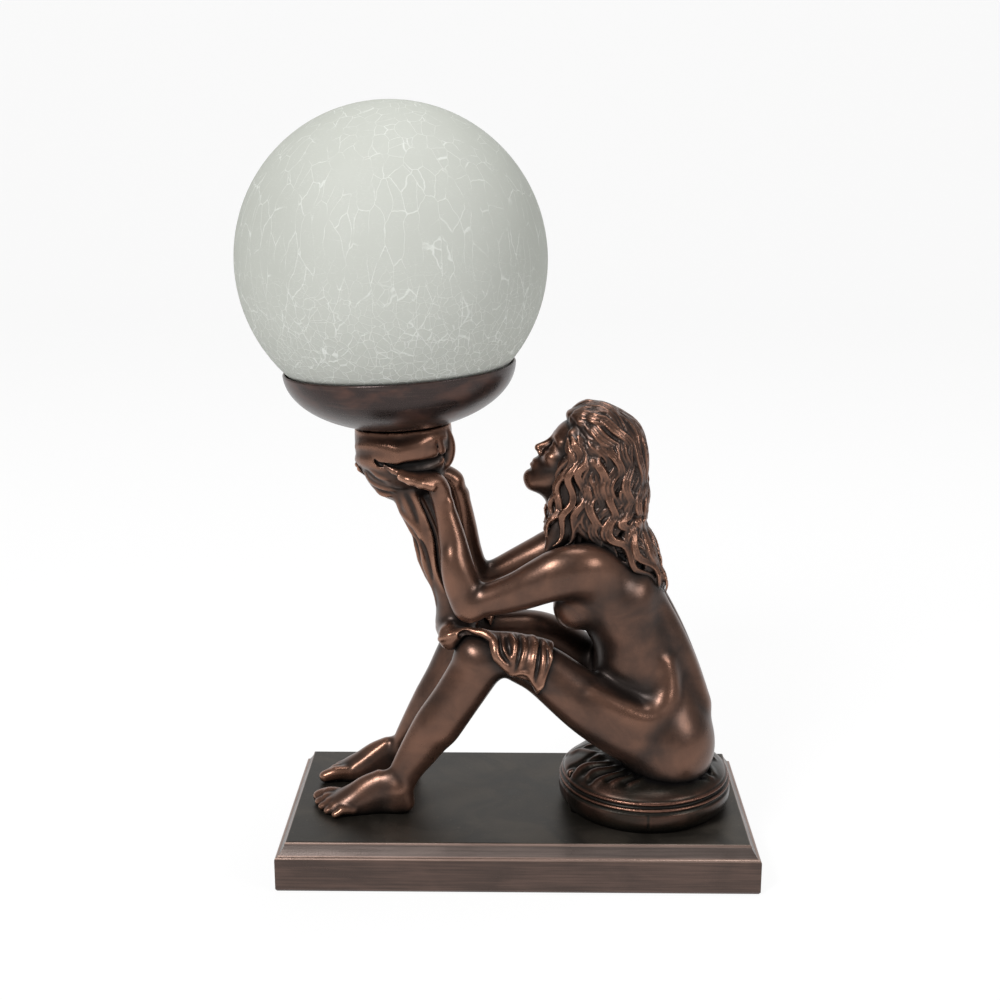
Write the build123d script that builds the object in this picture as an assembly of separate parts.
from build123d import *
from math import cos, pi, sin, sqrt
import os

# Figural table lamp: a seated figure on a cushion and a moulded plinth holds up a
# gathered cloth, a shallow dish stands on the cloth, and a glass globe rests in the dish.
# Millimetres. The origin is the middle of the plinth's underside, +Z is up, the figure
# looks towards -X, and its left side is at -Y.

os.makedirs("parts", exist_ok=True)

# ---------------------------------------------------------------- driving dimensions
# plinth
plinth_length = 238.0
plinth_depth = 120.0
plinth_face = 18.3          # height of the upright faces above the table
plinth_moulding = 6.2       # height of the moulding on top of the faces
moulding_inset = 5.2        # how far the top plate stands back from the faces
edge_round = 1.5            # soft upper edge of the upright faces
felt_proud = 0.4            # how far the felt stands below the walls
wall = 10.0                 # plinth walls, thick enough for the cover screws
top_plate = 6.5             # plinth top
cover_thickness = 2.0
felt_thickness = 1.4
cover_gap = 0.3             # between the cover's edge and its rebate
cover_rebate = 7.5          # width of the ledge that the cover lies on
cover_screw_inset = 7.0     # screws from the outer faces, over the ledge
cover_screw_spacing = 200.0 # along the plinth
cover_screw_radius = 1.5
cover_screw_length = 8.0
screw_clearance = 0.1       # around every screw's shank
# screws that hold the figure: (place, radius, height of the tip above the plinth's top)
seat_screw = ((74.0, 0.0), 2.0, 35.5)
foot_screw = ((-62.0, -20.0), 1.5, 10.0)
screw_head_height = 2.2
screw_washer_thickness = 0.8

# cable entry in the rear wall
gland_x = 30.0
gland_bore = 3.6            # radius of the hole for the flex
gland_neck = 5.5            # radius of the gland where it passes the wall
gland_flange = 8.0
gland_flange_thickness = 2.0
gland_nose = 13.0           # from the flange to the tip of the tapered nose
gland_nose_tip = 4.6

# cushion
cushion_x, cushion_y = 65.0, -1.0
cushion_half_x, cushion_half_y = 43.0, 46.0
cushion_height = 25.0       # crown above the plinth's top
piping_height = 15.5
piping_radius = 1.0
piping_pitch = 3.4          # between the two rows of piping
piping_spread = 0.955       # size of each row, as a share of the cushion's
lower_piping_spread = 0.985
cushion_puckers = 9         # shallow gathers round the crown
pucker_depth = 0.45
# (height, spread) shares of the cushion from its underside to its crown
cushion_profile = [
    (0.0, 0.93), (0.12, 0.985), (0.28, 1.0), (0.48, 0.985), (0.66, 0.94),
    (0.82, 0.83), (0.92, 0.68), (0.976, 0.52), (1.0, 0.40),
]

# figure, heights measured from the plinth's top
seat_height = 21.5          # flat underside of the seat
neck_cut = 143.5            # joint face between the body and the head castings
shoulder_cut_x = 24.0       # joint faces between the body and the arm castings
drape_foot = 98.0           # joint face between the knees and the hanging cloth
casting_gap = 0.3           # between castings that fit round each other
dowel_radius = 1.5
dowel_half_length = 6.0
dowel_fit = 0.05

# dish, globe and lampholder share one axis, leaning back by lean degrees
lean = 3.2
dish_foot_x = -56.9
dish_foot_height = 197.8    # above the plinth's top
dish_rim_radius = 57.0
dish_depth = 29.5
dish_ellipse_depth = 31.0
dish_wall = 1.6             # at the rim
dish_floor = 2.6
ledge_drop = 7.5            # seat ledge below the rim
ledge_width = 3.6
ring_height = 3.5
ring_inset = 0.4            # between the ring and the dish wall
bearing_radius = 51.0       # circle on which the globe bears on the ring
bearing_gap = 0.3
globe_radius = 75.0
globe_wall = 3.0
globe_mouth = 40.0

nipple_radius = 5.0         # M10 x 1 lamp nipple
nipple_bore = 4.05
nipple_below = 17.5         # length below the dish foot
thread_fit = 0.1
washer_radius, washer_thickness = 9.0, 1.0
nut_across_flats, nut_height = 14.0, 3.5

holder_radius = 14.0
holder_cap_height = 19.0
holder_skirt_height = 28.0
holder_wall = 1.5
thread_major = 6.95         # radius of the bulb cap's screw thread
shell_clearance = 0.25
shell_wall = 0.4
shell_height = 17.0

terminal_radius = 1.3
terminal_length = 4.0
terminal_drop = 5.0
contact_length = 9.0
contact_width = 3.2
contact_thickness = 0.4
contact_rise = 2.6

bulb_radius = 22.5
bulb_length = 78.0
bulb_cap_length = 19.0
bulb_wall = 0.8
eyelet_gap = 0.3

wire_tube_radius = 3.9
wire_tube_bore = 3.1
wire_tube_fit = 0.15

# ---------------------------------------------------------------- derived places
plinth_top = plinth_face + plinth_moulding
ceiling = plinth_top - top_plate
cover_base = felt_thickness
on_plinth = Pos(0, 0, plinth_top)
head_frame = Pos(dish_foot_x, 0, plinth_top + dish_foot_height) * Rot(0, -lean, 0)

ledge_z = dish_depth - ledge_drop
bearing_z = ledge_z + ring_height
globe_z = bearing_z + sqrt(globe_radius**2 - bearing_radius**2)


# ---------------------------------------------------------------- shape helpers
def section_planes(stations):
    """A plane at each station, square to the path through the stations' centres."""
    centres = [Vector(*station[0]) for station in stations]
    planes = []
    for index, centre in enumerate(centres):
        before = centres[max(index - 1, 0)]
        after = centres[min(index + 1, len(centres) - 1)]
        along = (after - before).normalized()
        deep = Vector(0, 1, 0).cross(along).normalized()
        planes.append(Plane(origin=centre, x_dir=deep, z_dir=along))
    return planes


def limb(stations, grow=0.0):
    """A smooth tapering form through (centre, half depth, half width) ellipses."""
    sections = [
        plane * Ellipse(deep + grow, wide + grow)
        for plane, (_, deep, wide) in zip(section_planes(stations), stations)
    ]
    return loft(sections)


def folded(plane, deep, wide, folds, fold_depth, phase):
    """A closed section whose outline ripples with a number of folds."""
    points = []
    for step in range(4 * folds):
        turn = 2 * pi * step / (4 * folds)
        ripple = fold_depth * cos(folds * turn + phase)
        points.append(((deep + ripple) * cos(turn), (wide + ripple) * sin(turn)))
    return plane * make_face(Spline(*points, periodic=True))


def folded_limb(stations, folds, fold_depth, drift, grow=0.0):
    """Like limb, with folds that wander round the form by drift radians a station."""
    planes = section_planes(stations)
    sections = []
    for index, (plane, (_, deep, wide)) in enumerate(zip(planes, stations)):
        depth = min(fold_depth, 0.12 * min(deep, wide))
        sections.append(
            folded(plane, deep + grow, wide + grow, folds, depth, index * drift)
        )
    return loft(sections)


def blob(centre, half_sizes, lean_back=0.0):
    """An ellipsoid, turned about Y by lean_back degrees."""
    return Pos(*centre) * Rot(0, lean_back, 0) * scale(Sphere(1), by=half_sizes)


def above(height, reach=400.0):
    """The half space over a level plane."""
    return Pos(0, 0, height + reach / 2) * Box(reach, reach, reach)


def below(height, reach=400.0):
    return Pos(0, 0, height - reach / 2) * Box(reach, reach, reach)


def ahead_of(x, reach=400.0):
    """The half space in front of the figure, towards -X."""
    return Pos(x - reach / 2, 0, 0) * Box(reach, reach, 2 * reach)


def mirrored(stations, shift_y=0.0):
    """The same stations on the figure's other side."""
    return [((x, shift_y - y, z), deep, wide) for (x, y, z), deep, wide in stations]


def spun(*outline):
    """A solid of revolution about Z from (radius, height) corners."""
    return revolve(make_face(Polyline(*[(r, 0, z) for r, z in outline], close=True)), Axis.Z)


def ring(outer, inner, height, base=0.0):
    """A flat ring or tube standing on the height base."""
    shape = Pos(0, 0, base + height / 2) * Cylinder(outer, height)
    return shape - Pos(0, 0, base + height / 2) * Cylinder(inner, height)


def hexagon(across_flats, bore, height, base):
    prism = extrude(RegularPolygon(across_flats / 2, 6, major_radius=False), height)
    return Pos(0, 0, base) * prism - Pos(0, 0, base + height / 2) * Cylinder(bore, height)


def pan_screw(radius, length, head_radius, head_height):
    """A screw that points up from z = 0, with a domed head under it."""
    head = Pos(0, 0, -head_height / 2) * Cylinder(head_radius, head_height)
    head = fillet(head.edges().group_by(Axis.Z)[0], 0.6 * head_height)
    slot = Pos(0, 0, -head_height) * Box(2 * head_radius, 0.25 * head_radius, head_height)
    return Pos(0, 0, length / 2) * Cylinder(radius, length) + (head - slot)


# ---------------------------------------------------------------- the figure's stations
# Each station is (centre, half depth, half width), heights above the plinth's top.
torso_stations = [
    ((73.0, 0, 15.0), 20.0, 30.0),
    ((74.0, 0, 23.5), 22.4, 33.0),
    ((75.4, 0, 35.5), 23.6, 35.0),
    ((74.8, 0, 50.5), 22.2, 32.5),
    ((69.5, 0, 67.5), 20.8, 27.5),
    ((63.2, 0, 85.5), 20.6, 27.0),
    ((52.5, 0, 103.5), 21.8, 30.0),
    ((43.5, 0, 119.5), 19.5, 31.0),
    ((38.0, 0, 132.5), 14.5, 28.0),
    ((34.5, 0, 141.0), 10.5, 17.0),
    ((28.5, 0, 152.0), 8.6, 9.0),
    ((24.0, 0, 163.0), 8.6, 8.6),
]
left_thigh = [
    ((-18.5, -18.0, 82.0), 11.4, 11.4),
    ((-6.0, -18.3, 83.4), 10.2, 11.4),
    ((3.0, -18.8, 80.8), 11.4, 12.0),
    ((14.0, -19.5, 75.8), 13.0, 12.6),
    ((37.0, -22.0, 58.2), 15.2, 15.0),
    ((61.0, -20.5, 45.5), 18.3, 17.0),
    ((76.0, -17.0, 38.5), 18.5, 18.0),
    ((88.0, -15.0, 35.0), 10.0, 12.0),
]
right_thigh = [
    ((-26.0, 18.0, 82.5), 11.6, 11.5),
    ((-8.0, 18.5, 83.5), 11.6, 12.2),
    ((13.0, 20.0, 80.0), 13.4, 13.4),
    ((37.0, 22.0, 63.0), 15.6, 15.2),
    ((60.0, 20.5, 46.5), 18.3, 17.0),
    ((76.0, 17.0, 38.5), 18.5, 18.0),
    ((88.0, 15.0, 35.0), 10.0, 12.0),
]
left_shin = [
    ((-17.5, -18.0, 83.0), 11.6, 11.4),
    ((-24.0, -18.0, 73.5), 11.9, 11.4),
    ((-32.5, -18.0, 59.8), 11.7, 11.2),
    ((-41.5, -18.0, 45.7), 10.3, 10.0),
    ((-49.0, -18.0, 34.0), 8.6, 8.3),
    ((-57.0, -18.6, 22.0), 7.0, 6.4),
    ((-61.5, -19.5, 13.0), 6.6, 6.0),
    ((-62.0, -20.0, 4.0), 6.4, 6.0),
]
right_shin = [
    ((-25.0, 18.0, 84.0), 11.6, 11.4),
    ((-30.5, 18.0, 74.0), 11.9, 11.4),
    ((-37.2, 18.0, 59.8), 11.6, 11.2),
    ((-44.2, 18.4, 45.7), 10.3, 10.1),
    ((-50.5, 19.3, 34.5), 8.8, 8.5),
    ((-58.0, 21.8, 22.0), 7.2, 6.7),
    ((-62.0, 24.2, 13.0), 6.8, 6.4),
    ((-62.5, 25.0, 4.0), 6.4, 6.2),
]
left_foot = [
    ((-53.6, -20.6, 4.6), 4.6, 3.8),
    ((-57.2, -20.4, 6.2), 8.2, 6.4),
    ((-64.5, -19.6, 9.0), 13.0, 7.2),
    ((-73.0, -18.8, 7.6), 12.2, 8.2),
    ((-81.5, -18.2, 4.8), 9.8, 9.4),
    ((-89.0, -17.8, 3.4), 7.4, 10.2),
    ((-94.5, -17.6, 2.6), 5.4, 9.4),
]
right_foot_shift = 5.0      # the right foot stands further out than the left
# toes as (root, tip, radius), from the big toe outwards
left_toes = [
    ((-91.0, -11.8, 4.2), (-101.4, -10.2, 3.6), 4.1),
    ((-92.0, -16.2, 3.6), (-101.0, -15.8, 3.0), 3.0),
    ((-91.0, -20.2, 3.4), (-98.8, -20.8, 2.8), 2.8),
    ((-88.5, -23.8, 3.2), (-95.2, -25.2, 2.7), 2.7),
    ((-85.0, -26.6, 3.0), (-90.6, -28.6, 2.6), 2.6),
]
left_arm_stations = [
    ((45.0, -19.5, 127.0), 10.0, 9.5),
    ((33.0, -26.5, 131.5), 12.8, 10.8),
    ((21.5, -28.5, 130.2), 12.8, 10.4),
    ((11.0, -28.0, 125.8), 11.4, 10.0),
    ((1.9, -26.3, 121.0), 10.1, 9.2),
    ((-9.0, -23.6, 116.4), 8.9, 8.5),
    ((-18.0, -21.6, 113.4), 8.1, 8.1),
    ((-25.0, -20.5, 111.8), 7.8, 7.8),
]
# The right shoulder is held lower and the right forearm is nearer to upright.
right_arm_stations = [
    ((45.0, 19.5, 125.0), 10.0, 9.5),
    ((33.0, 26.5, 128.4), 12.4, 10.8),
    ((21.5, 28.5, 126.2), 12.2, 10.4),
    ((11.0, 28.0, 122.0), 11.0, 10.0),
    ((1.9, 26.3, 118.4), 10.0, 9.2),
    ((-9.0, 23.6, 114.2), 8.9, 8.5),
    ((-17.0, 21.6, 111.8), 8.1, 8.1),
    ((-23.5, 20.6, 110.6), 7.8, 7.8),
]
left_forearm_stations = [
    ((-24.0, -20.5, 108.5), 7.6, 7.8),
    ((-26.8, -20.0, 116.5), 8.8, 8.4),
    ((-29.6, -18.5, 129.0), 8.0, 7.8),
    ((-33.0, -16.0, 145.5), 6.7, 6.9),
    ((-36.6, -14.0, 159.5), 5.5, 6.0),
    ((-39.4, -13.0, 168.0), 5.0, 5.8),
    ((-42.0, -13.0, 172.5), 4.2, 6.0),
]
right_forearm_stations = [
    ((-22.6, 20.6, 107.5), 7.6, 7.8),
    ((-25.2, 20.0, 116.0), 8.6, 8.4),
    ((-27.2, 18.8, 128.5), 7.9, 7.8),
    ((-28.4, 17.2, 142.5), 6.6, 6.8),
    ((-30.2, 15.6, 156.0), 5.5, 6.0),
    ((-33.2, 14.4, 166.0), 4.8, 5.8),
    ((-37.5, 13.6, 171.5), 4.3, 6.0),
]
elbow_radius = 8.0
knee_radius = 11.7
left_hand_stations = [
    ((-38.5, -13.2, 170.0), 4.6, 5.6),
    ((-44.0, -12.8, 172.8), 4.0, 7.0),
    ((-50.5, -12.0, 174.6), 3.4, 7.6),
    ((-57.0, -11.4, 176.0), 2.7, 6.8),
    ((-63.0, -10.8, 177.4), 2.0, 5.0),
    ((-66.0, -10.4, 178.2), 1.3, 3.0),
]
# The right hand turns its fingers further up round the bundle.
right_hand_stations = [
    ((-34.5, 14.0, 169.0), 4.4, 5.6),
    ((-44.0, 13.2, 171.6), 4.0, 7.0),
    ((-55.0, 11.6, 171.2), 3.2, 7.4),
    ((-64.0, 10.0, 172.0), 2.7, 6.6),
    ((-71.5, 8.0, 174.4), 2.1, 5.0),
    ((-76.0, 6.6, 177.6), 1.4, 3.2),
]
hair_stations = [
    ((32.0, 0, 208.4), 6.5, 7.0),
    ((36.0, 0, 204.4), 13.8, 13.2),
    ((40.0, 0, 195.0), 18.4, 17.6),
    ((42.3, 0, 181.0), 18.8, 19.5),
    ((40.2, 0, 166.0), 22.6, 20.5),
    ((38.4, 0, 152.0), 23.4, 21.0),
    ((44.0, 0, 139.5), 22.8, 21.5),
    ((58.5, 0, 127.5), 13.2, 19.0),
    ((67.5, 0, 117.5), 8.0, 14.0),
    ((72.0, 0, 110.0), 4.0, 7.0),
]
hair_locks = 11
hair_lock_depth = 1.9
# the cloth, from the dish's foot down to the knees
bundle_stations = [
    ((-57.3, 0, 195.8), 23.8, 21.4),
    ((-57.2, 0, 192.5), 24.4, 22.0),
    ((-57.2, 0, 186.5), 24.6, 22.4),
    ((-58.0, 0, 180.5), 23.6, 21.0),
    ((-59.0, 0, 174.5), 22.4, 19.8),
    ((-62.5, 0, 168.5), 17.0, 16.0),
    ((-66.0, 0, 163.4), 8.0, 9.0),
]
drape_stations = [
    ((-58.0, 0, 178.0), 9.0, 12.0),
    ((-56.0, 0, 168.0), 9.5, 13.0),
    ((-51.0, 0, 156.0), 9.0, 13.0),
    ((-46.0, 0, 143.0), 8.5, 12.5),
    ((-42.0, 0, 129.0), 8.4, 12.0),
    ((-35.2, 0, 113.0), 8.2, 12.5),
    ((-33.0, 0, 102.0), 10.0, 14.5),
    ((-31.5, 0, 92.0), 12.0, 17.0),
]
drape_folds = 9
drape_fold_depth = 1.3
knee_cloth_stations = [
    ((-29.0, 0, 85.5), 11.0, 17.0),
    ((-29.5, 0, 89.5), 12.6, 18.5),
    ((-31.0, 0, 95.0), 12.8, 18.0),
    ((-32.5, 0, 102.0), 11.0, 15.5),
]
knee_cloth_thickness = 2.4
# hem of the cloth on each thigh: heights at the knee and 60 mm further back
hem_knee_x, hem_knee_height = -40.0, 88.0
hem_fall = 17.0
cloth_end_x = 17.0          # how far back the cloth reaches on the thighs

# head, in its own frame: z up the face, -x forward, y to its left
head_centre = (29.0, 0, 179.5)
head_lean = 37.3
skull_half = (18.0, 14.2, 21.5)
jaw_stations = [
    ((-3.0, 0, -2.0), 14.0, 12.8),
    ((-5.5, 0, -10.0), 12.2, 11.0),
    ((-8.8, 0, -16.5), 9.0, 8.4),
    ((-11.5, 0, -21.0), 6.0, 5.6),
    ((-12.6, 0, -23.0), 3.2, 3.2),
]
nose_stations = [
    ((-17.0, 0, 4.0), 1.6, 1.5),
    ((-18.2, 0, -1.5), 2.4, 1.7),
    ((-19.4, 0, -6.0), 3.2, 2.5),
    ((-19.0, 0, -8.6), 2.4, 2.4),
]
eye_spacing = 12.2
dowel_places = {
    "neck": ((34.0, 0, neck_cut), (0, 0, 0)),
    "left_shoulder": ((shoulder_cut_x, -28.2, 130.5), (0, 90, 0)),
    "right_shoulder": ((shoulder_cut_x, 28.2, 126.8), (0, 90, 0)),
}

# the wire's way down: lampholder, cloth, right knee and shin, plinth
tube_start_drop = 13.5      # below the dish foot, inside the nipple
tube_bend_drop = 31.0
tube_points = [
    (-41.0, 1.0, 121.0),
    (-28.5, 15.0, 88.5),
    (-61.0, 24.8, 15.5),
]
tube_bends = [30.0, 40.0, 20.0, 20.0]
tube_below_ceiling = 8.0


# ---------------------------------------------------------------- plinth group
def half_profile(half_width, base):
    """The plinth's outline on one side of its middle: face, moulding, top."""
    top = plinth_top
    shoulder = plinth_face - edge_round
    fillet_line = top - 1.0
    with BuildLine() as outline:
        Line((0, base), (half_width - 0.8, base))
        Line((half_width - 0.8, base), (half_width, base + 1.2))
        Line((half_width, base + 1.2), (half_width, shoulder))
        RadiusArc(
            (half_width, shoulder), (half_width - edge_round, plinth_face), -edge_round
        )
        ThreePointArc(
            (half_width - edge_round, plinth_face),
            (half_width - 0.55 * moulding_inset, plinth_face + 0.3 * plinth_moulding),
            (half_width - moulding_inset + 0.7, fillet_line - 0.7),
        )
        RadiusArc(
            (half_width - moulding_inset + 0.7, fillet_line - 0.7),
            (half_width - moulding_inset - 0.9, top),
            -1.4,
        )
        Line((half_width - moulding_inset - 0.9, top), (0, top))
        Line((0, top), (0, base))
    return make_face(outline.line)


def moulded_block(length, depth, base):
    """The moulded profile carried round four sides with mitred corners."""
    half_long = half_profile(length / 2, base)
    half_deep = half_profile(depth / 2, base)
    across_x = extrude(Plane.XZ * (half_long + mirror(half_long, Plane.YZ)), depth, both=True)
    across_y = extrude(Plane.YZ * (half_deep + mirror(half_deep, Plane.YZ)), length, both=True)
    return across_x & across_y


def cover_screw_places():
    """Two screws in each long wall."""
    reach_y = plinth_depth / 2 - cover_screw_inset
    return [(x * cover_screw_spacing / 2, y * reach_y) for x in (-1, 1) for y in (-1, 1)]


def cover_outline(gap):
    """The base cover, lying on a ledge inside the walls."""
    length = plinth_length - 2 * (wall - cover_rebate) - 2 * gap
    depth = plinth_depth - 2 * (wall - cover_rebate) - 2 * gap
    return length, depth


def wire_tube_path():
    """Straight runs joined by tangent arcs, from the dish down to the plinth's chamber."""
    start = (head_frame * Pos(0, 0, -tube_start_drop)).position
    bend = (head_frame * Pos(0, 0, -tube_bend_drop)).position
    points = [start, bend]
    points += [Vector(x, y, z + plinth_top) for x, y, z in tube_points]
    last = points[-1]
    points.append(Vector(last.X, last.Y, ceiling - tube_below_ceiling))
    return FilletPolyline(*points, radius=tube_bends)


def wire_tube(radius):
    path = wire_tube_path()
    return sweep(Plane(origin=path @ 0, z_dir=path % 0) * Circle(radius), path=path)


def mounting_screw(place, radius, tip_height):
    """A screw from the plinth's chamber up into a casting, and its washer."""
    under_washer = ceiling - screw_washer_thickness
    head_radius = 2 * radius
    shape = pan_screw(radius, plinth_top + tip_height - under_washer, head_radius, screw_head_height)
    washer = ring(
        head_radius + 1.2, radius + screw_clearance, screw_washer_thickness, under_washer
    )
    return Pos(*place, under_washer) * shape, Pos(*place, 0) * washer


def screw_hole(place, radius, tip_height):
    span = plinth_top + tip_height + 1.0
    return Pos(*place, span / 2) * Cylinder(radius + screw_clearance, span)


def make_plinth():
    block = moulded_block(plinth_length, plinth_depth, felt_proud)
    chamber_height = ceiling - felt_proud
    chamber = Pos(0, 0, felt_proud + chamber_height / 2) * Box(
        plinth_length - 2 * wall, plinth_depth - 2 * wall, chamber_height
    )
    length, depth = cover_outline(0.0)
    rebate_top = cover_base + cover_thickness
    rebate = Pos(0, 0, rebate_top / 2) * Box(length, depth, rebate_top)
    block = block - chamber - rebate
    for x, y in cover_screw_places():
        hole = Cylinder(cover_screw_radius + screw_clearance, cover_screw_length + 1.0)
        block -= Pos(x, y, rebate_top + (cover_screw_length - 1.0) / 2) * hole
    block -= Pos(gland_x, plinth_depth / 2 - wall / 2, gland_height()) * (
        Rot(90, 0, 0) * Cylinder(gland_neck, wall + 2.0)
    )
    block -= screw_hole(*seat_screw) + screw_hole(*foot_screw)
    return block - wire_tube(wire_tube_radius + wire_tube_fit)


def gland_height():
    """Midway between the cover and the chamber's ceiling."""
    return (cover_base + cover_thickness + ceiling) / 2


def make_cable_gland():
    """A flanged bush with a tapered nose, pushed through the rear wall."""
    wall_face = gland_flange_thickness
    inside = wall_face + gland_nose
    body = spun(
        (gland_bore, 0),
        (gland_flange - 0.6, 0),
        (gland_flange, 0.6),
        (gland_flange, wall_face),
        (gland_neck, wall_face),
        (gland_neck, wall_face + wall),
        (gland_neck + 0.5, wall_face + wall + 0.3),
        (gland_nose_tip, inside),
        (gland_bore, inside),
    )
    out_of_wall = Pos(gland_x, plinth_depth / 2 + wall_face, gland_height())
    return out_of_wall * Rot(90, 0, 0) * body


def make_base_cover():
    length, depth = cover_outline(cover_gap)
    plate = Pos(0, 0, cover_base + cover_thickness / 2) * Box(length, depth, cover_thickness)
    for x, y in cover_screw_places():
        plate -= Pos(x, y, cover_base) * Cylinder(
            cover_screw_radius + screw_clearance, 4 * cover_thickness
        )
        plate -= Pos(x, y, cover_base) * Cone(
            2 * cover_screw_radius + screw_clearance,
            cover_screw_radius + screw_clearance,
            cover_screw_radius,
            align=(Align.CENTER, Align.CENTER, Align.MIN),
        )
    return plate


def make_cover_screws():
    """Countersunk screws up into the walls."""
    screws = []
    for x, y in cover_screw_places():
        head = Cone(
            2 * cover_screw_radius,
            cover_screw_radius,
            cover_screw_radius,
            align=(Align.CENTER, Align.CENTER, Align.MIN),
        )
        shank = Pos(0, 0, cover_screw_length / 2) * Cylinder(
            cover_screw_radius, cover_screw_length
        )
        screws.append(Pos(x, y, cover_base) * (head + shank))
    return Compound(children=screws)


def make_felt_pad():
    length, depth = cover_outline(cover_gap)
    slab = Pos(0, 0, felt_thickness / 2) * Box(length, depth, felt_thickness)
    return fillet(slab.edges().filter_by(Axis.Z), 3.0)


# ---------------------------------------------------------------- figure group
def make_cushion(seat):
    """A round seat cushion: crowned top, drawn-in sides, two rows of piping."""
    sections = []
    for index, (rise, spread) in enumerate(cushion_profile):
        middle = (cushion_x, cushion_y, rise * cushion_height)
        plane = Plane(origin=middle, x_dir=(1, 0, 0), z_dir=(0, 0, 1))
        wide = (cushion_half_x * spread, cushion_half_y * spread)
        sections.append(folded(plane, *wide, cushion_puckers, pucker_depth, 0.9 * index))
    pad = on_plinth * loft(sections)
    for height, spread in (
        (piping_height, piping_spread),
        (piping_height - piping_pitch, lower_piping_spread),
    ):
        reach_x, reach_y = cushion_half_x * spread, cushion_half_y * spread
        start = Plane(origin=(reach_x, 0, 0), z_dir=(0, 1, 0))
        rope = sweep(start * Circle(piping_radius), path=Ellipse(reach_x, reach_y).edge())
        pad += Pos(cushion_x, cushion_y, plinth_top + height) * rope
    return pad - seat - screw_hole(*seat_screw)


def foot(stations, toes):
    shape = limb(stations)
    for root, tip, radius in toes:
        shape += toe(root, tip, radius)
    return shape & above(0.0)


def toe(root, tip, radius):
    """A straight toe with a round end."""
    start, end = Vector(*root), Vector(*tip)
    along = end - start
    barrel = Solid.make_cone(
        1.1 * radius, radius, along.length, Plane(origin=start, z_dir=along.normalized())
    )
    return barrel + Pos(*tip) * Sphere(radius)


def knee_cloth(thigh):
    """The cloth over a thigh: a folded sleeve cut off along the hem."""
    sleeve = [
        (centre, deep + knee_cloth_thickness, wide + knee_cloth_thickness)
        for centre, deep, wide in thigh[:4]
    ]
    start = Vector(*sleeve[0][0])
    slope = Vector(*sleeve[1][0]) - start
    nose = start - slope.normalized() * 9.0
    sleeve.insert(0, ((nose.X, nose.Y, nose.Z), sleeve[0][1] - 3.5, sleeve[0][2] - 3.5))
    cloth = folded_limb(sleeve, drape_folds, 0.9, 0.5)
    over_hem = Pos(hem_knee_x, 0, hem_knee_height) * Rot(0, hem_fall, 0) * above(0.0)
    return cloth & over_hem & ahead_of(cloth_end_x)


def make_figure_body():
    """Torso, legs, the cloth on the knees and the hair on the back, cast in one."""
    body = limb(torso_stations)
    for thigh, shin in (
        (left_thigh, left_shin),
        (right_thigh, right_shin),
    ):
        body += limb(thigh)
        body += limb(shin)
        body += Pos(*thigh[0][0]) * Sphere(knee_radius)
        body += knee_cloth(thigh)
    body += foot(left_foot, left_toes)
    right_toes = [
        ((r[0], right_foot_shift - r[1], r[2]), (t[0], right_foot_shift - t[1], t[2]), radius)
        for r, t, radius in left_toes
    ]
    body += foot(mirrored(left_foot, right_foot_shift), right_toes)
    body += folded_limb(knee_cloth_stations, drape_folds, drape_fold_depth, 0.6) & below(drape_foot)
    for side in (-1, 1):
        body += blob((26.5, 13.0 * side, 106.5), (9.5, 9.5, 9.5))
        body += limb(arm_stations(side)[:3])
    body += folded_limb(hair_stations, hair_locks, hair_lock_depth, 0.8) & below(neck_cut)
    body = body & below(neck_cut) & above(0.0)
    seat_room = 2 * cushion_half_y
    body -= Pos(cushion_x, 0, seat_height / 2) * Box(seat_room, seat_room, seat_height)
    for side in (-1, 1):
        body -= ahead_of(shoulder_cut_x) & limb(shoulder_keep_out(side))
    body = on_plinth * body
    body -= screw_hole(*seat_screw) + screw_hole(*foot_screw)
    return cut_dowels(body - wire_tube(wire_tube_radius + wire_tube_fit))


def arm_stations(side):
    return left_arm_stations if side < 0 else right_arm_stations


def lower_arm(side, grow=0.0):
    """A forearm with its hand."""
    if side < 0:
        return limb(left_forearm_stations, grow) + limb(left_hand_stations, grow)
    return limb(right_forearm_stations, grow) + limb(right_hand_stations, grow)


def shoulder_keep_out(side):
    """The room that an arm casting takes up in front of the shoulder's joint face."""
    return [(centre, deep + 1.0, wide + 1.0) for centre, deep, wide in arm_stations(side)]


def make_figure_head():
    """Face, neck and the hair above the joint face."""
    in_head = Pos(*head_centre) * Rot(0, head_lean, 0)
    face = scale(Sphere(1), by=skull_half)
    face += limb(jaw_stations)
    face += limb(nose_stations)
    for side in (-1, 1):
        face += blob((-15.4, side * eye_spacing / 2, 0.2), (2.6, 3.4, 2.3))
        face += blob((-15.2, side * eye_spacing / 2, 4.2), (2.8, 4.6, 1.8))
    face += blob((-17.0, 0, -12.6), (2.6, 4.2, 1.2))
    face += blob((-16.6, 0, -14.8), (2.6, 3.6, 1.4))
    face += blob((-14.8, 0, -20.4), (4.0, 4.8, 3.6))
    head = in_head * face
    head += limb(torso_stations[8:])
    head += folded_limb(hair_stations, hair_locks, hair_lock_depth, 0.8)
    head = on_plinth * (head & above(neck_cut))
    return cut_dowels(head)


def make_arm(side):
    """Upper arm, forearm and the open hand under the cloth."""
    arm = limb(arm_stations(side)[1:]) & ahead_of(shoulder_cut_x)
    arm += Pos(*arm_stations(side)[-1][0]) * Sphere(elbow_radius)
    arm += lower_arm(side)
    return cut_dowels(on_plinth * arm)


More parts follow.
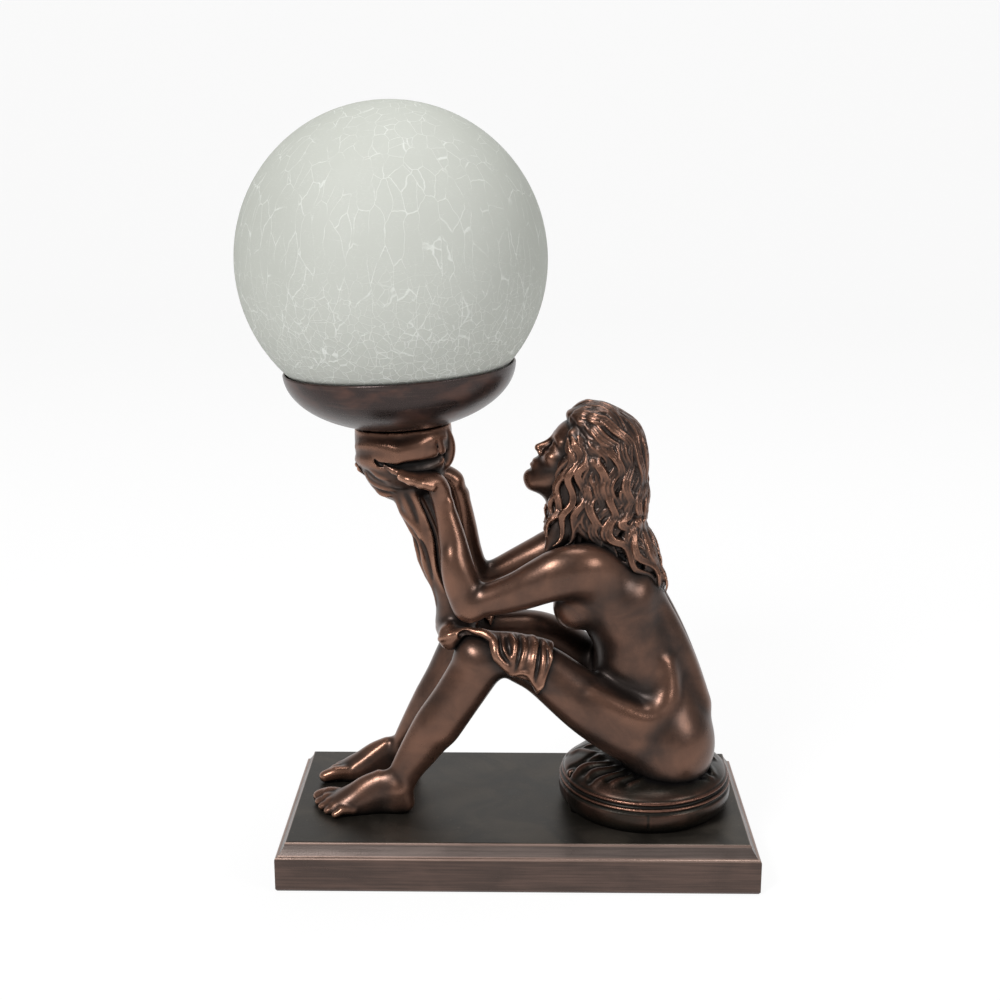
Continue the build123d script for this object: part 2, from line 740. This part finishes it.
def make_cloth():
    """The gathered bundle under the dish and the cloth that hangs to the knees."""
    cloth = folded_limb(bundle_stations, 7, 1.5, 0.45)
    cloth += folded_limb(drape_stations, drape_folds, drape_fold_depth, 0.35)
    cloth = cloth & above(drape_foot)
    for side in (-1, 1):
        cloth -= lower_arm(side, casting_gap)
        cloth -= Pos(*arm_stations(side)[-1][0]) * Sphere(elbow_radius + casting_gap)
    cloth = on_plinth * cloth
    cloth -= head_frame * above(0.0)
    cloth -= head_frame * Pos(0, 0, -nipple_below / 2) * Cylinder(
        nipple_radius + thread_fit, nipple_below
    )
    return cloth - wire_tube(wire_tube_radius + wire_tube_fit)


def dowel(radius):
    length = 2 * dowel_half_length
    return [
        on_plinth * Pos(*place) * Rot(*turn) * Cylinder(radius, length)
        for place, turn in dowel_places.values()
    ]


def cut_dowels(casting):
    for pin in dowel(dowel_radius + dowel_fit):
        casting -= pin
    return casting


# ---------------------------------------------------------------- dish, globe and holder
def dish_radius(height, rim, depth):
    """Radius of a half ellipse of the given rim radius and depth at a height."""
    return rim * sqrt(1 - ((dish_depth - height) / depth) ** 2)


def make_dish():
    """A cast dish: elliptical bowl, flat foot, and a ledge inside for the seat ring."""
    inner_rim = dish_rim_radius - dish_wall
    inner_depth = dish_ellipse_depth - dish_wall
    ledge_outer = dish_radius(ledge_z, inner_rim, inner_depth)
    ledge_inner = ledge_outer - ledge_width
    bowl_depth = ledge_z - dish_floor
    floor_radius = 0.42 * ledge_inner
    outer_points = [
        (dish_radius(h, dish_rim_radius, dish_ellipse_depth), h)
        for h in (0.0, 1.5, 4.0, 8.0, 13.0, 18.5, 24.0, dish_depth - 0.6)
    ]
    inner_points = [
        (dish_radius(h, inner_rim, inner_depth), h)
        for h in (dish_depth - 0.6, 26.5, 24.0, ledge_z)
    ]
    bowl_points = [
        (ledge_inner, ledge_z),
        (0.93 * ledge_inner, dish_floor + 0.62 * bowl_depth),
        (0.74 * ledge_inner, dish_floor + 0.20 * bowl_depth),
        (floor_radius, dish_floor),
    ]
    with BuildLine() as outline:
        Line((0, 0), outer_points[0])
        Spline(*outer_points)
        rim_middle = ((outer_points[-1][0] + inner_points[0][0]) / 2, dish_depth)
        ThreePointArc(outer_points[-1], rim_middle, inner_points[0])
        Spline(*inner_points)
        Line(inner_points[-1], bowl_points[0])
        Spline(*bowl_points, tangents=[(-0.15, -1), (-1, 0)])
        Line(bowl_points[-1], (0, dish_floor))
        Line((0, dish_floor), (0, 0))
    bowl = revolve(Plane.XZ * make_face(outline.line), Axis.Z)
    bore = Pos(0, 0, dish_floor / 2) * Cylinder(nipple_radius + thread_fit, 2 * dish_floor)
    return head_frame * (bowl - bore)


def make_seat_ring():
    """A soft ring on the dish's ledge, hollowed to the globe's curve."""
    outer = dish_radius(ledge_z, dish_rim_radius - dish_wall, dish_ellipse_depth - dish_wall)
    inner = outer - ledge_width - ring_inset
    band = ring(outer - ring_inset, inner + 1.0, ring_height + 2.0, ledge_z)
    band -= Pos(0, 0, globe_z) * Sphere(globe_radius + bearing_gap)
    return head_frame * band


def make_globe():
    """A blown glass globe, open at the bottom."""
    mouth_z = -sqrt(globe_radius**2 - globe_mouth**2)
    shell = Sphere(globe_radius) - Sphere(globe_radius - globe_wall)
    shell -= below(mouth_z)
    return head_frame * Pos(0, 0, globe_z) * shell


def make_nipple():
    """The threaded tube that clamps the dish to the cloth and carries the lampholder."""
    top = holder_base() + 9.0
    length = nipple_below + top
    tube = ring(nipple_radius, nipple_bore, length, -nipple_below)
    return head_frame * tube


def holder_base():
    """Underside of the lampholder: above the floor, the washer and the nut."""
    return dish_floor + washer_thickness + nut_height


def make_dish_washer():
    return head_frame * ring(
        washer_radius, nipple_radius + thread_fit, washer_thickness, dish_floor
    )


def make_dish_nut():
    return head_frame * hexagon(
        nut_across_flats, nipple_radius + thread_fit, nut_height, dish_floor + washer_thickness
    )


def make_holder_cap():
    """The lampholder's domed lower half, screwed on the nipple."""
    top = holder_cap_height
    shape = spun(
        (nipple_radius + thread_fit, 0),
        (7.5, 0),
        (7.8, 4.5),
        (11.5, 6.5),
        (holder_radius - 0.4, 11.0),
        (holder_radius - 0.4, top),
        (holder_radius - holder_wall - 0.4, top),
        (holder_radius - holder_wall - 0.4, 11.6),
        (10.6, 8.6),
        (nipple_radius + thread_fit, 8.6),
    )
    return head_frame * Pos(0, 0, holder_base()) * shape


def skirt_base():
    return holder_base() + holder_cap_height


def holder_top():
    return skirt_base() + holder_skirt_height


def insulator_base():
    return skirt_base() - 3.0


def shell_base():
    return holder_top() - shell_height - 2.0


def make_holder_skirt():
    """The upper half: a plain sleeve with a rolled lip."""
    height = holder_skirt_height
    mouth = thread_major + shell_clearance + shell_wall + 1.2
    shape = spun(
        (holder_radius - holder_wall, 0),
        (holder_radius, 0),
        (holder_radius, 1.5),
        (holder_radius - 0.8, 2.5),
        (holder_radius - 1.6, height - 1.0),
        (holder_radius - 2.4, height),
        (mouth, height),
        (mouth, height - 1.4),
        (holder_radius - 1.6 - holder_wall, height - 1.4),
        (holder_radius - holder_wall, 3.0),
    )
    return head_frame * Pos(0, 0, skirt_base()) * shape


def make_holder_insulator():
    """The moulded core that carries the screw shell, the contact and the terminals."""
    core_top = shell_base() - insulator_base()
    radius = holder_radius - holder_wall - 0.5
    core = Pos(0, 0, core_top / 2) * Cylinder(radius - 0.4, core_top)
    core -= Pos(0, 0, 1.5) * Box(7.0, 2 * radius, 3.0)
    for side in (-1, 1):
        hole = Rot(0, 90, 0) * Cylinder(terminal_radius + screw_clearance, terminal_length)
        core -= Pos(side * terminal_reach(), 0, terminal_drop) * hole
    core -= Pos(0, 0, core_top - 0.6) * Box(contact_length + 0.4, contact_width + 0.4, 1.2)
    return head_frame * Pos(0, 0, insulator_base()) * core


def terminal_reach():
    return holder_radius - holder_wall - 0.9 - terminal_length / 2


def make_terminal_screws():
    screws = []
    for side in (-1, 1):
        body = Rot(0, 90 * side, 0) * Cylinder(terminal_radius, terminal_length)
        slot = Pos(side * terminal_length / 2, 0, 0) * Box(0.8, 3.0, 0.5)
        place = Pos(side * terminal_reach(), 0, insulator_base() + terminal_drop)
        screws.append(head_frame * place * (body - slot))
    return Compound(children=screws)


def make_screw_shell():
    """The brass shell that takes the bulb's cap, with a floor ring on the core."""
    inner = thread_major + shell_clearance
    tube = ring(inner + shell_wall, inner, shell_height)
    tube += ring(inner + shell_wall, contact_length / 2 + 0.6, shell_wall)
    return head_frame * Pos(0, 0, shell_base()) * tube


def make_centre_contact():
    """A bent spring tongue under the bulb's eyelet."""
    with BuildLine() as outline:
        Polyline(
            (-contact_length / 2, 0),
            (contact_length / 2, 0),
            (contact_length / 2, contact_thickness),
            (-contact_length / 2 + 1.5, contact_thickness),
            (1.0, contact_rise),
            (3.0, contact_rise),
            (3.0, contact_rise + contact_thickness),
            (0.6, contact_rise + contact_thickness),
            (-contact_length / 2, contact_thickness + 0.6),
            close=True,
        )
    strip = extrude(Plane.XZ * make_face(outline.line), contact_width / 2, both=True)
    return head_frame * Pos(0, 0, shell_base() - 1.2) * strip


def eyelet_z():
    """Underside of the bulb when it is screwed home."""
    return shell_base() - 1.2 + contact_rise + contact_thickness + eyelet_gap


def make_bulb_contact():
    """The bulb's end contact and its glass insulator."""
    shape = spun((0, 0), (2.0, 0), (2.3, 0.8), (5.2, 2.2), (5.2, 3.4), (0, 3.4))
    return head_frame * Pos(0, 0, eyelet_z()) * shape


def make_bulb_cap():
    """The screw cap, a plain sleeve of the thread's outer size."""
    radius = thread_major
    top = 3.4 + bulb_cap_length
    shape = spun(
        (0, 3.4),
        (5.2, 3.4),
        (radius, 5.4),
        (radius, top - 3.0),
        (radius + 0.6, top),
        (radius - 0.4, top),
        (radius - 0.8, top - 3.0),
        (radius - 0.8, 5.8),
        (0, 5.0),
    )
    return head_frame * Pos(0, 0, eyelet_z()) * shape


def bulb_envelope(inside):
    """The golf-ball form with its neck, drawn in all round by inside."""
    neck_base = 3.4 + bulb_cap_length
    foot = neck_base - 2.0 + inside
    centre = bulb_length - bulb_radius
    radius = bulb_radius - inside
    neck = thread_major - 0.45 - inside
    flare = neck + 6.0
    meet = centre - sqrt(radius**2 - flare**2)
    with BuildLine() as outline:
        Line((0, foot), (neck - 0.4, foot))
        Line((neck - 0.4, foot), (neck, neck_base))
        Spline(
            (neck, neck_base), (neck + 3.0, (neck_base + meet) / 2), (flare, meet),
            tangents=[(0.1, 1), (centre - meet, flare)],
        )
        ThreePointArc((flare, meet), (radius, centre), (0, centre + radius))
        Line((0, centre + radius), (0, foot))
    return revolve(Plane.XZ * make_face(outline.line), Axis.Z)


def make_bulb_glass():
    """A golf-ball envelope with a neck that stands in the cap."""
    return head_frame * Pos(0, 0, eyelet_z()) * (bulb_envelope(0.0) - bulb_envelope(bulb_wall))


# ---------------------------------------------------------------- the wire tube's fixings
def make_wire_tube():
    outer = wire_tube(wire_tube_radius)
    return outer - wire_tube(wire_tube_bore)


def tube_foot():
    x, y, _ = tube_points[-1]
    return Pos(x, y, 0)


def make_tube_washer():
    return tube_foot() * ring(
        7.0, wire_tube_radius + wire_tube_fit, washer_thickness, ceiling - washer_thickness
    )


def make_tube_nut():
    return tube_foot() * hexagon(
        11.0, wire_tube_radius + wire_tube_fit, nut_height,
        ceiling - washer_thickness - nut_height,
    )


# ---------------------------------------------------------------- build and write
figure_body = make_figure_body()
seat_recess = on_plinth * (
    (limb(torso_stations[:5], casting_gap) + limb(left_thigh[3:], casting_gap)
     + limb(right_thigh[3:], casting_gap)) & above(seat_height)
)
seat_screw_parts = mounting_screw(*seat_screw)
foot_screw_parts = mounting_screw(*foot_screw)

parts = {
    "plinth": make_plinth(),
    "base_cover": make_base_cover(),
    "cover_screws": make_cover_screws(),
    "felt_pad": make_felt_pad(),
    "cable_gland": make_cable_gland(),
    "cushion": make_cushion(seat_recess),
    "figure_body": figure_body,
    "figure_head": make_figure_head(),
    "left_arm": make_arm(-1),
    "right_arm": make_arm(1),
    "gathered_cloth": make_cloth(),
    "casting_dowels": Compound(children=dowel(dowel_radius)),
    "mounting_screws": Compound(children=[seat_screw_parts[0], foot_screw_parts[0]]),
    "mounting_washers": Compound(children=[seat_screw_parts[1], foot_screw_parts[1]]),
    "wire_tube": make_wire_tube(),
    "tube_washer": make_tube_washer(),
    "tube_nut": make_tube_nut(),
    "threaded_nipple": make_nipple(),
    "dish": make_dish(),
    "dish_washer": make_dish_washer(),
    "dish_nut": make_dish_nut(),
    "globe_seat_ring": make_seat_ring(),
    "holder_cap": make_holder_cap(),
    "holder_skirt": make_holder_skirt(),
    "holder_insulator": make_holder_insulator(),
    "terminal_screws": make_terminal_screws(),
    "screw_shell": make_screw_shell(),
    "centre_contact": make_centre_contact(),
    "bulb_contact": make_bulb_contact(),
    "bulb_cap": make_bulb_cap(),
    "bulb_glass": make_bulb_glass(),
    "glass_globe": make_globe(),
}

for name, shape in parts.items():
    export_step(shape, f"parts/{name}.step")
